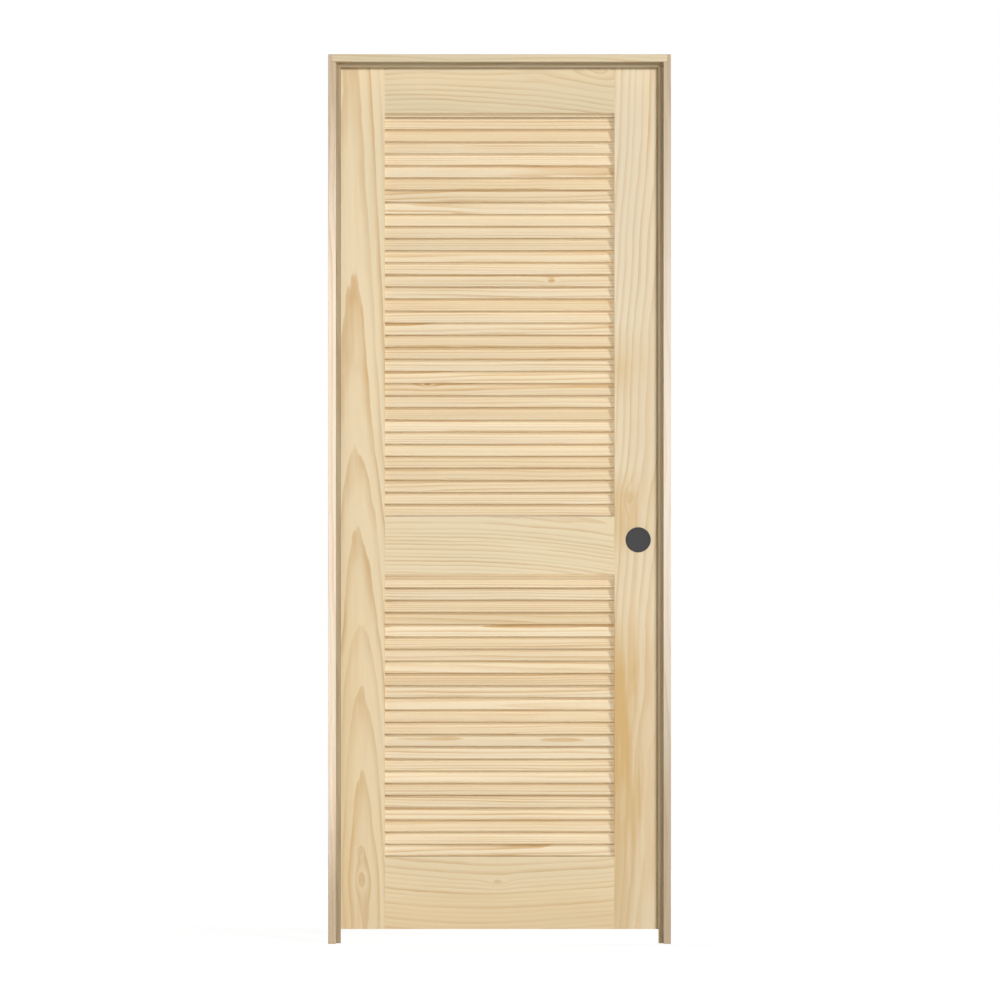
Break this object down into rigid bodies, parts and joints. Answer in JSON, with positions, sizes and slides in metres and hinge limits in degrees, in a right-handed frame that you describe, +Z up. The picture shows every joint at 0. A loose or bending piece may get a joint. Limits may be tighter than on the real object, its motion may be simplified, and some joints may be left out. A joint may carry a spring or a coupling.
{
  "type": "louvred door",
  "caption": "Louvred pine interior door of fixed tilted slats in stiles and rails, hung on loose-pin butt hinges in a jamb frame with stops and bored for a lockset.",
  "frame": {"origin": "on the floor, midway between the side jambs and midway through the depth of the frame", "axes": "+X from the hinge jamb to the strike jamb, +Y from the stop side to the hinge side the door swings out on, +Z up"},
  "size_m": [0.8002, 0.1284, 2.0765],
  "materials": {
    "door_pine": "bare sanded pine",
    "jamb_pine": "bare planed pine",
    "dowel_wood": "bare hardwood",
    "hinge_metal": "satin",
    "screw_metal": "satin",
    "nail_metal": "bright",
    "cover_plastic": "matte"
  },
  "bodies": {
    "frame": {"hinge_jamb": "jamb_pine", "strike_jamb": "jamb_pine", "head_jamb": "jamb_pine", "hinge_stop": "jamb_pine", "strike_stop": "jamb_pine", "head_stop": "jamb_pine", "frame_nails": "nail_metal", "stop_brads": "nail_metal", "jamb_leaf_screws": "screw_metal", "jamb_leaf_top": "hinge_metal", "jamb_leaf_middle": "hinge_metal", "jamb_leaf_bottom": "hinge_metal"},
    "door": {"hinge_stile": "door_pine", "lock_stile": "door_pine", "top_rail": "door_pine", "lock_rail": "door_pine", "bottom_rail": "door_pine", "upper_slats_01": "door_pine", "upper_slats_02": "door_pine", "upper_slats_03": "door_pine", "upper_slats_04": "door_pine", "upper_slats_05": "door_pine", "upper_slats_06": "door_pine", "upper_slats_07": "door_pine", "upper_slats_08": "door_pine", "upper_slats_09": "door_pine", "upper_slats_10": "door_pine", "upper_slats_11": "door_pine", "upper_slats_12": "door_pine", "upper_slats_13": "door_pine", "upper_slats_14": "door_pine", "upper_slats_15": "door_pine", "upper_slats_16": "door_pine", "upper_slats_17": "door_pine", "lower_slats_01": "door_pine", "lower_slats_02": "door_pine", "lower_slats_03": "door_pine", "lower_slats_04": "door_pine", "lower_slats_05": "door_pine", "lower_slats_06": "door_pine", "lower_slats_07": "door_pine", "lower_slats_08": "door_pine", "lower_slats_09": "door_pine", "lower_slats_10": "door_pine", "lower_slats_11": "door_pine", "lower_slats_12": "door_pine", "top_rail_dowels": "dowel_wood", "lock_rail_dowels": "dowel_wood", "bottom_rail_dowels": "dowel_wood", "door_leaf_top": "hinge_metal", "door_leaf_middle": "hinge_metal", "door_leaf_bottom": "hinge_metal", "door_leaf_screws": "screw_metal", "bore_cover": "cover_plastic"},
    "hinge_pin_top": {"hinge_pin_top": "hinge_metal"},
    "hinge_pin_middle": {"hinge_pin_middle": "hinge_metal"},
    "hinge_pin_bottom": {"hinge_pin_bottom": "hinge_metal"}
  },
  "joints": [
    {"name": "door_swing", "type": "hinge", "parent": "frame", "child": "door", "pos_m": [-0.38095, 0.06445, 1.0945], "axis": [0, 0, 1], "range_deg": [0, 175]},
    {"name": "hinge_pin_top_lift", "type": "slide", "parent": "frame", "child": "hinge_pin_top", "axis": [0, 0, 1], "range_m": [0, 0.075]},
    {"name": "hinge_pin_middle_lift", "type": "slide", "parent": "frame", "child": "hinge_pin_middle", "axis": [0, 0, 1], "range_m": [0, 0.075]},
    {"name": "hinge_pin_bottom_lift", "type": "slide", "parent": "frame", "child": "hinge_pin_bottom", "axis": [0, 0, 1], "range_m": [0, 0.075]}
  ]
}
